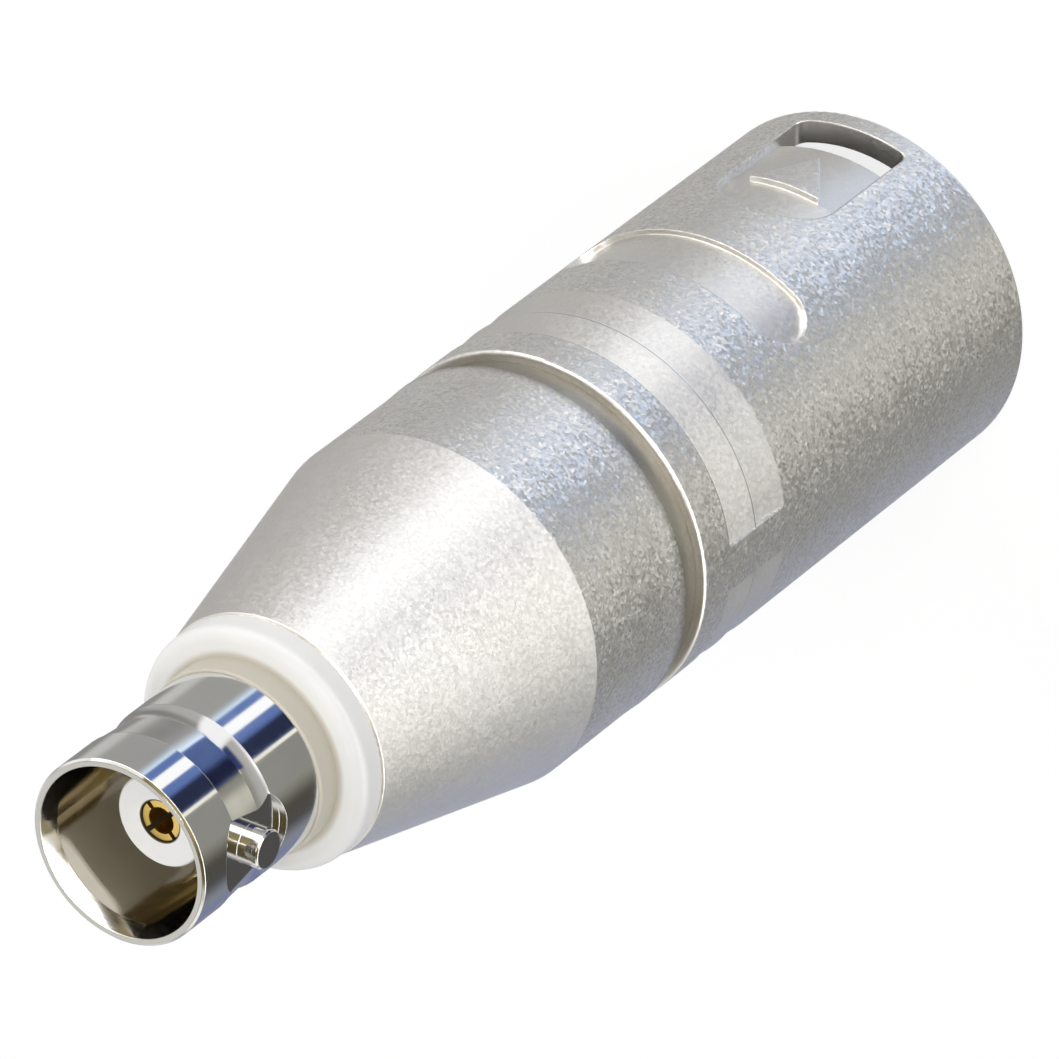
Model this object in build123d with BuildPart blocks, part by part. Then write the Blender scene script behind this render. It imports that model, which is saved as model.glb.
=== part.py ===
from build123d import *
import os
from math import cos, degrees, pi, radians, sin, sqrt, tan

os.makedirs("parts", exist_ok=True)

# An in-line adapter: a BNC jack at one end, a three-pole XLR plug at the other
# and a small impedance transformer between them. Millimetres. The adapter
# stands on the rim of its XLR mouth: z = 0 is the rim, +Z is the axis and the
# BNC jack is on top. The latch window of the XLR shell faces -Y.

# Clearances
slip = 0.05                      # radial, between round parts that slide together
board_play = 0.1                 # radial, round the circuit board
seat_play = 0.1                  # axial, where one of two shoulders has to stay free
key_play = 0.1                   # beside a key, a leaf or a tab
wire_play = 0.05                 # radial, round a wire or a contact in its hole
cutter_reach = 1.0               # that a cutter passes the outer faces

# Front shell, die cast
shell_diameter = 19.0
shell_length = 29.1
socket_wall = 1.4                # round the socket, which takes the mating plug
mouth_wall = 1.2                 # round the lead-in of the socket
mouth_bore_depth = 3.2
insert_wall = 1.1                # behind the socket, round the insert and the rear shell
insert_depth = 13.6              # from the rim to the face of the insert
rim_round = 0.3
parting_round = 0.2
mouth_chamfer = 0.25

# Sawtooth grips: two groups of teeth, with a plain strip at each side
rim_band = 2.3                   # from the rear rim to the steep wall of the upper tooth
upper_tooth_length = 2.3         # steep wall to steep wall
lower_tooth_length = 2.5         # steep wall to the end of the last ramp
tooth_depth = 0.4
strip_angle = 15.0               # width of each plain strip, in degrees

# Latch window, with the ramp that leads down to it
window_width = 6.3
window_bottom = 1.35
window_top = 3.1
window_corner = 0.5
ramp_top = 10.7
ramp_flat = 1.1                  # straight stretch between the two round corners
ramp_depth = 0.63                # below the surface, at the window
ramp_crest_depth = 0.45          # at the foot of the arrow
ramp_end_depth = 0.62            # at the far end
arrow_width = 4.0
arrow_bottom = 4.5
arrow_top = 7.75
arrow_depth = 0.15               # of its face, below the surface

# Bare oval recess on the same side
oval_height = 3.7
oval_z = 16.5
oval_angle = 86.6                # end to end, in degrees
oval_depth = 0.25                # on the side of the window
oval_tilt = 4.5                  # of the floor, deeper on the side of the grips, in degrees

# Key inside the socket, on the side of the window
key_width = 2.0
key_height = 0.7
key_bottom = 6.0
key_top = 20.0

# Insert and pins
insert_length = 10.0
insert_edge = 0.3
pin_diameter = 2.4
pin_circle = 7.62
pin_tip_depth = 1.6              # from the rim to the pin tips
pin_tip_flat = 0.6
pin_shank_step = 0.2             # the shank in the insert is thicker than the pin
pin_shank_rise = 0.2             # that the shank stands out of the insert
pin_flange_step = 0.3            # the flange is thicker than the shank
pin_flange_thickness = 1.0
pin_shoulder = 1.8               # carries the circuit board
pin_shoulder_height = 1.5
pin_tail = 1.0
pin_tail_height = 0.6            # above the circuit board

# Grounding leaf between pin 1 and the shell
leaf_width = 2.6
leaf_thickness = 0.3
leaf_length = 7.0
leaf_bow = 0.35
leaf_eyelet_step = 0.15          # that the eyelet is wider than the pin's flange
leaf_slot_depth = 1.0

# Rear shell, turned
groove_width = 1.6
groove_depth = 0.48              # below the front shell, as are the next two
flare_step = 0.02
barrel_step = 0.08
flare_length = 1.4
barrel_length = 6.2
cone_length = 13.6
rear_wall = 1.1
rear_end_wall = 1.6
spigot_wall = 1.0
cone_edge = 0.12

# White insulator between the rear shell and the jack, and its inner half
ring_step = 0.06                 # below the edge of the cone
ring_height = 1.5
ring_round = 0.6
boss_ledge = 0.13                # that the boss stands out past the jack
boss_height = 1.3
boss_round = 0.1
neck_wall = 0.7                  # in the end wall of the rear shell, round the stem
bush_ledge = 0.85                # that the flange of the inner half is wider than the neck
bush_flange_thickness = 1.1
cone_rim = 0.94                  # that the small end of the cone is wider than the flange

# BNC jack
jack_height = 9.3                # above the insulator
collar_diameter = 9.66
collar_height = 2.8
waist_depth = 0.19               # below the jack's body
waist_bottom = 4.85              # from the mouth to the narrowest place
waist_end = 5.8                  # from the mouth to the jack's body
collar_rise = 0.01               # above the jack's body
collar_step = 0.04               # behind the collar, where the waist's taper ends
collar_wall = 0.76               # round the bore of the jack
jack_floor_thickness = 0.9
jack_lip_land = 0.38             # left of the collar's end face by the lead-in chamfer
jack_lip_depth = 0.85
jack_edge = 0.12
lug_diameter = 2.0
lug_rise = 0.68                  # above the collar
lug_depth = 4.2                  # from the mouth to the middle of the lugs
lug_edge = 0.1
lug_spot_width = 1.45            # of the flat spot-face round the lug
lug_spot_depth = 0.42            # below the jack's body
stem_diameter = 7.9
stem_past_nut = 0.7
stem_wall = 1.15

# Jack dielectric, its rear bush and the centre contact
dielectric_diameter = 4.76
dielectric_depth = 3.3           # from the mouth to its face
dielectric_edge = 0.08
rear_bush_length = 2.3
contact_diameter = 2.1
contact_depth = 3.4
contact_bore = 1.4
contact_bore_depth = 5.0
contact_slot = 0.26
contact_slot_depth = 3.8
contact_collar = 3.2
contact_collar_height = 1.0
contact_tail = 1.6
contact_tail_length = 1.8        # below the rear bush
solder_cup_depth = 1.4

# Clamping parts of the jack, below the inner half of the insulator
tag_width = 1.15                 # of the ring round the stem
tag_thickness = 0.4
tag_tail_width = 2.0
tag_tail_length = 4.0
washer_width = 0.85
washer_thickness = 0.6
washer_teeth = 12
washer_tooth_depth = 0.7
nut_wall = 0.95                  # between the stem and the flats
nut_thickness = 2.2
nut_chamfer = 0.3

# Circuit board, transformer and leads
board_thickness = 1.2
base_room = 0.2                  # between the transformer base and the ground lead
base_thickness = 1.0
base_ledge = 0.6                 # that the base stands out past the core
core_height = 4.5
core_edge = 0.4
winding_thickness = 0.45
winding_angle = 130.0
lead_diameter = 1.0
ground_lead_diameter = 0.8
ground_lead_room = 0.45          # between the foot of the ground lead and the sleeve
sleeve_thickness = 0.25
sleeve_end = 2.8                 # from the sleeve's top to the cone of the bore

# Diameters and radii that follow from the sizes above
shell_radius = shell_diameter / 2
socket_radius = shell_radius - socket_wall
mouth_radius = shell_radius - mouth_wall
insert_bore_radius = shell_radius - insert_wall
insert_radius = insert_bore_radius - slip
spigot_radius = insert_bore_radius - slip
spigot_bore_radius = spigot_radius - spigot_wall
groove_radius = shell_radius - groove_depth
flare_radius = shell_radius - flare_step
barrel_radius = shell_radius - barrel_step
pin_shank = pin_diameter + 2 * pin_shank_step
pin_flange = pin_shank + 2 * pin_flange_step
leaf_eyelet = pin_flange + 2 * leaf_eyelet_step
stem_radius = stem_diameter / 2
stem_bore = stem_diameter - 2 * stem_wall
neck_radius = stem_radius + neck_wall
bush_flange_radius = neck_radius + bush_ledge
cone_top_radius = bush_flange_radius + cone_rim
ring_radius = cone_top_radius - ring_step
nut_across_flats = stem_diameter + 2 * nut_wall
tag_diameter = stem_diameter + 2 * tag_width
washer_diameter = stem_diameter + 2 * washer_width
collar_radius = collar_diameter / 2
jack_radius = collar_radius - collar_rise
waist_radius = jack_radius - waist_depth
waist_round = ((waist_end - waist_bottom) ** 2 + waist_depth ** 2) / (2 * waist_depth)
jack_bore_radius = collar_radius - collar_wall
boss_radius = jack_radius + boss_ledge
lug_spot_radius = lug_diameter / 2 + lug_spot_width
sleeve_radius = spigot_bore_radius - slip
lead_foot_radius = sleeve_radius - sleeve_thickness - ground_lead_room - ground_lead_diameter / 2
base_radius = lead_foot_radius - ground_lead_diameter / 2 - base_room
core_radius = base_radius - base_ledge
core_hole_radius = core_radius / 2

# Heights that follow from the sizes above
upper_tooth = shell_length - rim_band
lower_tooth = upper_tooth - upper_tooth_length
tooth_end = lower_tooth - lower_tooth_length
insert_top = insert_depth + insert_length
spigot_bottom = insert_top + seat_play
groove_top = shell_length + groove_width
flare_top = groove_top + flare_length
barrel_top = flare_top + barrel_length
cone_top = barrel_top + cone_length
cone_slope = (barrel_radius - cone_top_radius) / cone_length
end_wall_bottom = cone_top - rear_end_wall
ring_top = cone_top + ring_height
boss_top = ring_top + boss_height
mouth_z = boss_top + jack_height
jack_floor = boss_top + jack_floor_thickness
bush_bottom = end_wall_bottom - bush_flange_thickness
tag_bottom = bush_bottom - tag_thickness
washer_bottom = tag_bottom - washer_thickness
nut_bottom = washer_bottom - nut_thickness
stem_bottom = nut_bottom - stem_past_nut
rear_bush_top = stem_bottom + rear_bush_length
contact_tail_bottom = stem_bottom - contact_tail_length
board_bottom = insert_top + pin_shoulder_height
board_top = board_bottom + board_thickness
base_top = board_top + base_thickness
core_bottom = base_top + winding_thickness + wire_play

# Places of the pins, by number
pin_radius_out = pin_circle / 2
pin_places = {1: (-pin_radius_out, 0), 2: (pin_radius_out, 0), 3: (0, pin_radius_out)}


def radial_plane(azimuth):
    """Half-plane through the axis: local x points outward, local y up."""
    a = radians(azimuth)
    return Plane(origin=(0, 0, 0), x_dir=(cos(a), sin(a), 0), z_dir=(sin(a), -cos(a), 0))


def outward_plane(azimuth, height=0):
    """Plane that faces outward from the axis: local y points up."""
    a = radians(azimuth)
    return Plane(origin=(0, 0, height), x_dir=(-sin(a), cos(a), 0), z_dir=(cos(a), sin(a), 0))


def cone_radius(z):
    """Outer radius of the rear shell's cone at a height."""
    return cone_top_radius + cone_slope * (cone_top - z)


window_side = -90                # azimuth of the latch window, in degrees
far_out = shell_radius + cutter_reach


# Arrow that the window's cutter leaves standing on the ramp; it points to the window
with BuildPart() as arrow_core:
    with BuildSketch(outward_plane(window_side)):
        with BuildLine():
            Polyline(
                (-arrow_width / 2, arrow_top),
                (arrow_width / 2, arrow_top),
                (0, arrow_bottom),
                close=True,
            )
        make_face()
    extrude(amount=shell_radius)
    with BuildSketch():
        Circle(shell_radius - arrow_depth)
    extrude(amount=shell_length, mode=Mode.INTERSECT)

# Cutter for the latch window and its ramp: a rounded outline, cut by coaxial cones
with BuildPart() as window_cutter:
    with BuildSketch(radial_plane(window_side - 90)):
        with BuildLine():
            Polyline(
                (socket_radius / 2, window_bottom),
                (far_out, window_bottom),
                (far_out, ramp_top),
                (shell_radius - ramp_end_depth, ramp_top),
                (shell_radius - ramp_crest_depth, arrow_top),
                (shell_radius - ramp_depth, window_top),
                (socket_radius / 2, window_top),
                close=True,
            )
        make_face()
    revolve(axis=Axis.Z, revolution_arc=180)
    with BuildSketch(outward_plane(window_side, (window_bottom + ramp_top) / 2)) as window_outline:
        Rectangle(window_width, ramp_top - window_bottom)
        fillet(window_outline.vertices().group_by(Axis.Y)[-1], (window_width - ramp_flat) / 2)
        fillet(window_outline.vertices().group_by(Axis.Y)[0], window_corner)
    extrude(amount=2 * far_out, mode=Mode.INTERSECT)
    add(arrow_core.part, mode=Mode.SUBTRACT)

# Cutter for the bare oval: a band wrapped round the shell, with round ends and a conical floor
with BuildPart() as oval_cutter:
    oval_end_angle = degrees(oval_height / 2 / shell_radius)
    oval_straight = oval_angle - 2 * oval_end_angle
    oval_drop = oval_height * tan(radians(oval_tilt))
    oval_floor = shell_radius - oval_depth - oval_drop
    with BuildSketch(radial_plane(window_side - oval_straight / 2)):
        with Locations(((oval_floor + far_out) / 2, oval_z)):
            Rectangle(far_out - oval_floor, oval_height)
    revolve(axis=Axis.Z, revolution_arc=oval_straight)
    for side in (-1, 1):
        with BuildSketch(outward_plane(window_side + side * oval_straight / 2, oval_z)):
            Circle(oval_height / 2)
        extrude(amount=far_out)
    # The floor's line runs half a height past both sides of the oval
    with BuildSketch(Plane.XZ):
        with BuildLine():
            Polyline(
                (oval_floor - oval_drop / 2, oval_z + oval_height),
                (far_out, oval_z + oval_height),
                (far_out, oval_z - oval_height),
                (oval_floor + oval_drop * 3 / 2, oval_z - oval_height),
                close=True,
            )
        make_face()
    revolve(axis=Axis.Z, mode=Mode.INTERSECT)

# Front shell: one casting with the socket, the key, the window, the oval and the grips
with BuildPart() as xlr_shell:
    with BuildSketch(Plane.XZ):
        with BuildLine():
            Polyline(
                (mouth_radius + mouth_chamfer, 0),
                (shell_radius, 0),
                (shell_radius, shell_length),
                (insert_bore_radius, shell_length),
                (insert_bore_radius, insert_depth),
                (socket_radius, insert_depth),
                (socket_radius, mouth_bore_depth + mouth_radius - socket_radius),
                (mouth_radius, mouth_bore_depth),
                (mouth_radius, mouth_chamfer),
                close=True,
            )
        make_face()
    revolve(axis=Axis.Z)
    outer_edges = xlr_shell.edges().filter_by(GeomType.CIRCLE).filter_by(
        lambda edge: abs(edge.radius - shell_radius) < slip
    )
    fillet(outer_edges.sort_by(Axis.Z)[0], rim_round)
    fillet(outer_edges.sort_by(Axis.Z)[-1], parting_round)

    # The key grows inward from the socket wall, which swallows its back
    key_floor = socket_radius - key_height
    with BuildSketch(outward_plane(window_side, (key_bottom + key_top) / 2).offset(key_floor)):
        Rectangle(key_width, key_top - key_bottom)
    extrude(amount=(shell_radius + insert_bore_radius) / 2 - key_floor)

    # Each tooth is a steep wall above a ramp, cut over both groups
    group_angle = 180 - strip_angle
    for tooth_top, ramp_end in ((upper_tooth, lower_tooth), (lower_tooth, tooth_end)):
        for group_start in (window_side - group_angle / 2, window_side + 180 - group_angle / 2):
            with BuildSketch(radial_plane(group_start)):
                with BuildLine():
                    Polyline(
                        (shell_radius - tooth_depth, tooth_top),
                        (far_out, tooth_top),
                        (far_out, ramp_end),
                        (shell_radius, ramp_end),
                        close=True,
                    )
                make_face()
            revolve(axis=Axis.Z, revolution_arc=group_angle, mode=Mode.SUBTRACT)

    add(window_cutter.part, mode=Mode.SUBTRACT)
    add(oval_cutter.part, mode=Mode.SUBTRACT)
xlr_shell.part.label = "xlr_shell"
export_step(xlr_shell.part, "parts/xlr_shell.step")

# Insert: carries the three pins, clears the key and holds the grounding leaf
with BuildPart() as xlr_insert:
    with BuildSketch(Plane.XY.offset(insert_depth)):
        Circle(insert_radius)
    extrude(amount=insert_length)
    chamfer(xlr_insert.edges().filter_by(GeomType.CIRCLE).sort_by(Axis.Z)[-1], insert_edge)
    for place in pin_places.values():
        with BuildSketch(Plane.XY.offset(insert_depth)):
            with Locations(place):
                Circle(pin_shank / 2 + slip)
        extrude(amount=insert_length, mode=Mode.SUBTRACT)
        with BuildSketch(Plane.XY.offset(insert_top)):
            with Locations(place):
                Circle(pin_flange / 2 + slip)
        extrude(amount=-pin_flange_thickness, mode=Mode.SUBTRACT)

    # Notch that takes the shell's key
    notch_floor = key_floor - key_play
    with BuildSketch(outward_plane(window_side, insert_depth).offset(notch_floor)):
        with Locations((0, (key_top + key_play - insert_depth) / 2)):
            Rectangle(key_width + 2 * key_play, key_top + key_play - insert_depth)
    extrude(amount=far_out, mode=Mode.SUBTRACT)

    # Slot for the leaf down the side of pin 1, and its bed across the rear face
    slot_floor = insert_radius - leaf_slot_depth
    leaf_bottom = insert_top - leaf_thickness - leaf_length
    slot_bottom = leaf_bottom - key_play
    with BuildSketch(outward_plane(180, slot_bottom).offset(slot_floor)):
        with Locations((0, (insert_top - slot_bottom) / 2)):
            Rectangle(leaf_width + 2 * key_play, insert_top - slot_bottom)
    extrude(amount=far_out, mode=Mode.SUBTRACT)
    with BuildSketch(Plane.XY.offset(insert_top)):
        with Locations(((-far_out - pin_radius_out) / 2, 0)):
            Rectangle(far_out - pin_radius_out, leaf_width + 2 * key_play)
        with Locations(pin_places[1]):
            Circle(leaf_eyelet / 2 + key_play)
    extrude(amount=-leaf_thickness, mode=Mode.SUBTRACT)
xlr_insert.part.label = "xlr_insert"
export_step(xlr_insert.part, "parts/xlr_insert.step")


def make_pin(number):
    """One XLR pin: a round-nosed pin, the shank and flange in the insert, shoulder and tail.

    The flange of pin 1 lies lower, because the leaf's eyelet lies on it.
    """
    flange_top = insert_top - (leaf_thickness if number == 1 else 0)
    flange_bottom = insert_top - pin_flange_thickness
    shank_bottom = insert_depth - pin_shank_rise
    with BuildPart() as pin:
        with BuildSketch(Plane.XY.offset(pin_tip_depth)):
            with Locations(pin_places[number]):
                Circle(pin_diameter / 2)
        extrude(amount=shank_bottom - pin_tip_depth)
        fillet(pin.edges().sort_by(Axis.Z)[0], (pin_diameter - pin_tip_flat) / 2)
        with BuildSketch(Plane.XY.offset(shank_bottom)):
            with Locations(pin_places[number]):
                Circle(pin_shank / 2)
        extrude(amount=flange_bottom - shank_bottom)
        with BuildSketch(Plane.XY.offset(flange_bottom)):
            with Locations(pin_places[number]):
                Circle(pin_flange / 2)
        extrude(amount=flange_top - flange_bottom)
        with BuildSketch(Plane.XY.offset(flange_top)):
            with Locations(pin_places[number]):
                Circle(pin_shoulder / 2)
        extrude(amount=board_bottom - flange_top)
        with BuildSketch(Plane.XY.offset(board_bottom)):
            with Locations(pin_places[number]):
                Circle(pin_tail / 2)
        extrude(amount=board_thickness + pin_tail_height)
    return pin.part


for pin_number in pin_places:
    pin_part = make_pin(pin_number)
    pin_part.label = f"xlr_pin_{pin_number}"
    export_step(pin_part, f"parts/xlr_pin_{pin_number}.step")

# Grounding leaf: an eyelet on pin 1, a strip to the edge and a bowed leaf down the slot
with BuildPart() as ground_leaf:
    leaf_edge = sqrt(insert_bore_radius ** 2 - (leaf_width / 2) ** 2)
    leaf_crest = leaf_edge - key_play
    leaf_root = leaf_crest - leaf_bow
    leaf_top = insert_top - leaf_thickness
    with BuildSketch(Plane.XY.offset(leaf_top)):
        with Locations(pin_places[1]):
            Circle(leaf_eyelet / 2)
        with Locations(((-leaf_root - pin_radius_out) / 2, 0)):
            Rectangle(leaf_root - pin_radius_out, leaf_width)
        with Locations(pin_places[1]):
            Circle(pin_shoulder / 2 + slip, mode=Mode.SUBTRACT)
    extrude(amount=leaf_thickness)
    with BuildSketch(Plane.XZ.offset(-leaf_width / 2)):
        with BuildLine():
            outer_top = (-leaf_root, leaf_top + leaf_thickness)
            outer_bottom = (-leaf_root, leaf_bottom)
            inner_bottom = (-leaf_root + leaf_thickness, leaf_bottom)
            inner_top = (-leaf_root + leaf_thickness, leaf_top + leaf_thickness)
            leaf_middle = (leaf_bottom + leaf_top) / 2
            ThreePointArc(outer_top, (-leaf_crest, leaf_middle), outer_bottom)
            Line(outer_bottom, inner_bottom)
            ThreePointArc(inner_bottom, (-leaf_crest + leaf_thickness, leaf_middle), inner_top)
            Line(inner_top, outer_top)
        make_face()
    extrude(amount=leaf_width)
ground_leaf.part.label = "ground_leaf"
export_step(ground_leaf.part, "parts/ground_leaf.step")

# Rear shell: spigot, parting groove, flare, barrel and cone in one turned piece
with BuildPart() as rear_shell:
    wall_across = rear_wall * sqrt(1 + cone_slope ** 2)
    bore_cone_start = cone_top - (spigot_bore_radius + wall_across - cone_top_radius) / cone_slope
    with BuildSketch(Plane.XZ):
        with BuildLine():
            Polyline(
                (spigot_bore_radius, spigot_bottom),
                (spigot_radius, spigot_bottom),
                (spigot_radius, shell_length),
                (groove_radius, shell_length),
                (groove_radius, groove_top),
                (flare_radius, groove_top),
                (barrel_radius, flare_top),
                (barrel_radius, barrel_top),
                (cone_top_radius, cone_top),
                (neck_radius, cone_top),
                (neck_radius, end_wall_bottom),
                (cone_radius(end_wall_bottom) - wall_across, end_wall_bottom),
                (spigot_bore_radius, bore_cone_start),
                close=True,
            )
        make_face()
    revolve(axis=Axis.Z)
    top_edges = rear_shell.edges().filter_by(GeomType.CIRCLE).filter_by(
        lambda edge: abs(edge.radius - cone_top_radius) < slip
    )
    chamfer(top_edges.sort_by(Axis.Z)[-1], cone_edge)
rear_shell.part.label = "rear_shell"
export_step(rear_shell.part, "parts/rear_shell.step")

# White insulator: the ring on the cone, the boss under the jack, the spigot in the hole
with BuildPart() as insulator_ring:
    insulator_bore_radius = stem_radius + slip
    insulator_spigot = neck_radius - slip
    with BuildSketch(Plane.XZ):
        with BuildLine():
            Polyline(
                (insulator_bore_radius, cone_top - rear_end_wall / 2),
                (insulator_spigot, cone_top - rear_end_wall / 2),
                (insulator_spigot, cone_top),
                (ring_radius, cone_top),
                (ring_radius, ring_top),
                (boss_radius, ring_top),
                (boss_radius, boss_top),
                (insulator_bore_radius, boss_top),
                close=True,
            )
        make_face()
    revolve(axis=Axis.Z)
    ring_edges = insulator_ring.edges().filter_by(GeomType.CIRCLE).filter_by(
        lambda edge: abs(edge.radius - ring_radius) < slip
    )
    fillet(ring_edges.sort_by(Axis.Z)[-1], ring_round)
    boss_edges = insulator_ring.edges().filter_by(GeomType.CIRCLE).filter_by(
        lambda edge: abs(edge.radius - boss_radius) < slip
    )
    fillet(boss_edges.sort_by(Axis.Z)[-1], boss_round)
insulator_ring.part.label = "insulator_ring"
export_step(insulator_ring.part, "parts/insulator_ring.step")

# Inner half of the insulator, a flanged bush under the end wall
with BuildPart() as insulator_bush:
    with BuildSketch(Plane.XZ):
        with BuildLine():
            Polyline(
                (insulator_bore_radius, bush_bottom),
                (bush_flange_radius, bush_bottom),
                (bush_flange_radius, end_wall_bottom),
                (insulator_spigot, end_wall_bottom),
                (insulator_spigot, cone_top - rear_end_wall / 2 - seat_play),
                (insulator_bore_radius, cone_top - rear_end_wall / 2 - seat_play),
                close=True,
            )
        make_face()
    revolve(axis=Axis.Z)
insulator_bush.part.label = "insulator_bush"
export_step(insulator_bush.part, "parts/insulator_bush.step")

# Jack body: collar, waist and body outside, the two lugs, and the stem with its bore
with BuildPart() as bnc_body:
    collar_bottom = mouth_z - collar_height
    step_radius = collar_radius - collar_step
    with BuildSketch(Plane.XZ):
        with BuildLine():
            Polyline(
                (stem_bore / 2, stem_bottom),
                (stem_radius, stem_bottom),
                (stem_radius, boss_top),
                (jack_radius, boss_top),
                (jack_radius, mouth_z - waist_end),
            )
            RadiusArc(
                (jack_radius, mouth_z - waist_end),
                (waist_radius, mouth_z - waist_bottom),
                waist_round,
            )
            Polyline(
                (waist_radius, mouth_z - waist_bottom),
                (step_radius, collar_bottom),
                (collar_radius, collar_bottom),
                (collar_radius, mouth_z - jack_edge),
                (collar_radius - jack_edge, mouth_z),
                (collar_radius - jack_lip_land, mouth_z),
                (jack_bore_radius, mouth_z - jack_lip_depth),
                (jack_bore_radius, jack_floor),
                (stem_bore / 2, jack_floor),
                (stem_bore / 2, stem_bottom),
            )
        make_face()
    revolve(axis=Axis.Z)
    lug_z = mouth_z - lug_depth
    spot_face = jack_radius - lug_spot_depth
    lug_root = (jack_bore_radius + spot_face) / 2
    for azimuth in (0, 180):
        # A flat spot-face round the lug, then the lug itself
        with BuildSketch(outward_plane(azimuth, lug_z).offset(spot_face)):
            Circle(lug_spot_radius)
        extrude(amount=collar_diameter, mode=Mode.SUBTRACT)
        with BuildSketch(outward_plane(azimuth, lug_z).offset(lug_root)):
            Circle(lug_diameter / 2)
        extrude(amount=collar_radius + lug_rise - lug_root)
    lug_faces = bnc_body.faces().filter_by(Axis.X).sort_by(Axis.X)
    chamfer(lug_faces[0].edges() + lug_faces[-1].edges(), lug_edge)
bnc_body.part.label = "bnc_body"
export_step(bnc_body.part, "parts/bnc_body.step")

# Jack dielectric: the tube seen in the mouth and the thicker part in the stem
with BuildPart() as bnc_dielectric:
    dielectric_bore = contact_diameter / 2 + wire_play
    collar_seat = contact_collar / 2 + wire_play
    dielectric_top = mouth_z - dielectric_depth
    with BuildSketch(Plane.XZ):
        with BuildLine():
            Polyline(
                (collar_seat, rear_bush_top),
                (stem_bore / 2 - slip, rear_bush_top),
                (stem_bore / 2 - slip, jack_floor),
                (dielectric_diameter / 2, jack_floor),
                (dielectric_diameter / 2, dielectric_top - dielectric_edge),
                (dielectric_diameter / 2 - dielectric_edge, dielectric_top),
                (dielectric_bore, dielectric_top),
                (dielectric_bore, rear_bush_top + contact_collar_height),
                (collar_seat, rear_bush_top + contact_collar_height),
                close=True,
            )
        make_face()
    revolve(axis=Axis.Z)
bnc_dielectric.part.label = "bnc_dielectric"
export_step(bnc_dielectric.part, "parts/bnc_dielectric.step")

# Rear bush, which closes the stem behind the contact's collar
with BuildPart() as bnc_rear_bush:
    with BuildSketch(Plane.XY.offset(stem_bottom)):
        Circle(stem_bore / 2 - slip)
        Circle(contact_tail / 2 + wire_play, mode=Mode.SUBTRACT)
    extrude(amount=rear_bush_length)
bnc_rear_bush.part.label = "bnc_rear_bush"
export_step(bnc_rear_bush.part, "parts/bnc_rear_bush.step")

# Centre contact: a slotted socket in front, a collar, and a tail with a solder cup
with BuildPart() as bnc_contact:
    contact_top = mouth_z - contact_depth
    cup_radius = lead_diameter / 2 + wire_play
    with BuildSketch(Plane.XZ):
        with BuildLine():
            Polyline(
                (0, contact_tail_bottom + solder_cup_depth),
                (cup_radius, contact_tail_bottom + solder_cup_depth),
                (cup_radius, contact_tail_bottom),
                (contact_tail / 2, contact_tail_bottom),
                (contact_tail / 2, rear_bush_top),
                (contact_collar / 2, rear_bush_top),
                (contact_collar / 2, rear_bush_top + contact_collar_height),
                (contact_diameter / 2, rear_bush_top + contact_collar_height),
                (contact_diameter / 2, contact_top),
                (contact_bore / 2, contact_top),
                (contact_bore / 2, contact_top - contact_bore_depth),
                (0, contact_top - contact_bore_depth),
                close=True,
            )
        make_face()
    revolve(axis=Axis.Z)
    for turn in (45, 135):
        with BuildSketch(Plane.XY.offset(contact_top)):
            Rectangle(2 * contact_diameter, contact_slot, rotation=turn)
        extrude(amount=-contact_slot_depth, mode=Mode.SUBTRACT)
bnc_contact.part.label = "bnc_contact"
export_step(bnc_contact.part, "parts/bnc_contact.step")

# Ground tag: a ring round the stem with a tail that turns down beside the nut
with BuildPart() as ground_tag:
    tail_inner = nut_across_flats / 2 + seat_play
    with BuildSketch(Plane.XY.offset(tag_bottom)):
        Circle(tag_diameter / 2)
        with Locations((0, (tail_inner + tag_thickness) / 2)):
            Rectangle(tag_tail_width, tail_inner + tag_thickness)
        Circle(stem_radius + slip, mode=Mode.SUBTRACT)
    extrude(amount=tag_thickness)
    with BuildSketch(Plane.XY.offset(tag_bottom)):
        with Locations((0, tail_inner + tag_thickness / 2)):
            Rectangle(tag_tail_width, tag_thickness)
    extrude(amount=-tag_tail_length)
ground_tag.part.label = "ground_tag"
export_step(ground_tag.part, "parts/ground_tag.step")

# Lock washer with outer teeth
with BuildPart() as lock_washer:
    with BuildSketch(Plane.XY.offset(washer_bottom)):
        Circle(washer_diameter / 2)
        Circle(stem_radius + slip, mode=Mode.SUBTRACT)
        with PolarLocations(washer_diameter / 2, washer_teeth):
            Rectangle(
                washer_tooth_depth,
                pi * washer_diameter / washer_teeth / 2,
                mode=Mode.SUBTRACT,
            )
    extrude(amount=washer_thickness)
lock_washer.part.label = "lock_washer"
export_step(lock_washer.part, "parts/lock_washer.step")

# Hexagon nut with both faces chamfered
with BuildPart() as bnc_nut:
    nut_corner = nut_across_flats / sqrt(3)
    with BuildSketch(Plane.XY.offset(nut_bottom)):
        RegularPolygon(nut_corner, 6)
        Circle(stem_radius + slip, mode=Mode.SUBTRACT)
    extrude(amount=nut_thickness)
    with BuildSketch(Plane.XZ):
        with BuildLine():
            Polyline(
                (0, nut_bottom),
                (nut_corner - nut_chamfer, nut_bottom),
                (nut_corner, nut_bottom + nut_chamfer / 2),
                (nut_corner, washer_bottom - nut_chamfer / 2),
                (nut_corner - nut_chamfer, washer_bottom),
                (0, washer_bottom),
                close=True,
            )
        make_face()
    revolve(axis=Axis.Z, mode=Mode.INTERSECT)
bnc_nut.part.label = "bnc_nut"
export_step(bnc_nut.part, "parts/bnc_nut.step")

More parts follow.
